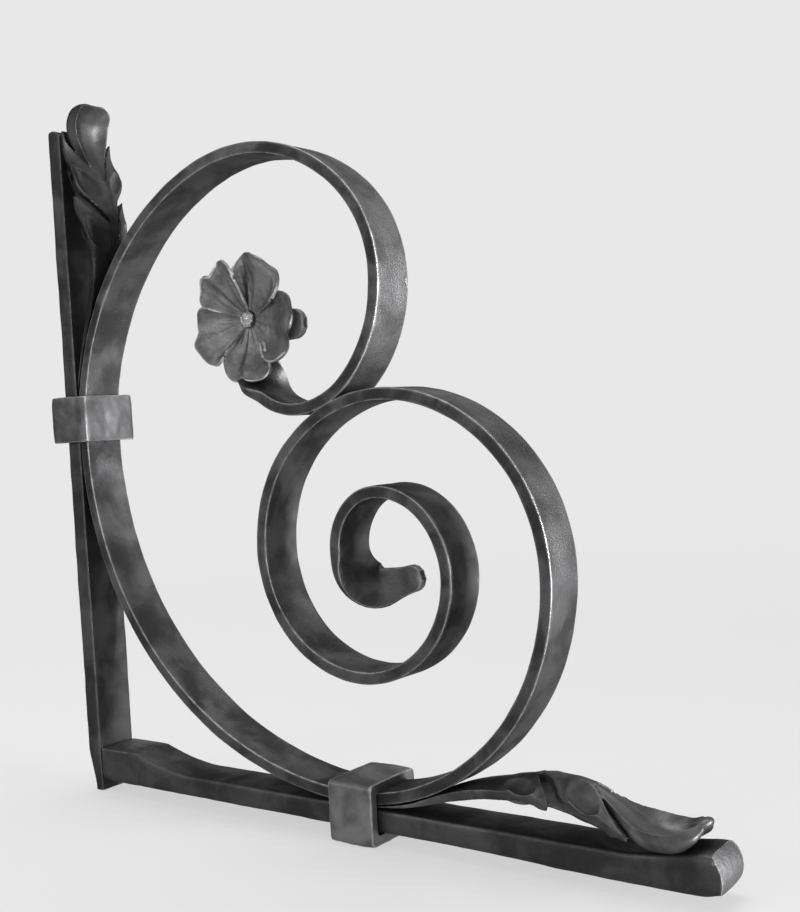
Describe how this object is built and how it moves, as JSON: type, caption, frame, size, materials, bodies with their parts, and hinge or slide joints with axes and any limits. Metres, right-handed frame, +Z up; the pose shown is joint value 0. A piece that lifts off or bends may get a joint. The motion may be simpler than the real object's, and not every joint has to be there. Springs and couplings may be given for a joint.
{
  "type": "corbel bracket",
  "caption": "Forged scroll bracket: an upright wall bar and an arm joined at a corner and tied by a rolled double scroll, with leaves, a riveted flower and wrapped collars.",
  "frame": {"origin": "middle of the footprint, on the plane that the foot and the collar of the arm stand on", "axes": "+Z up along the wall bar, +X from the wall towards the arm's free end, the flower faces -Y"},
  "size_m": [0.392, 0.038, 0.398],
  "materials": {
    "bars": "hammered, blackened and waxed",
    "scroll": "hammered, blackened and waxed",
    "collars": "hammered, blackened, brightened at the corners",
    "leaves": "chased, blackened and waxed",
    "petals": "veined sheet, blackened and waxed",
    "rivet": "hammered bright"
  },
  "bodies": {
    "root": {"wall_bar": "bars", "arm": "bars", "scroll_bar": "scroll", "wall_collar": "collars", "arm_collar": "collars", "wall_leaf": "leaves", "arm_leaf": "leaves", "flower": "petals", "flower_rivet": "rivet"}
  },
  "joints": []
}
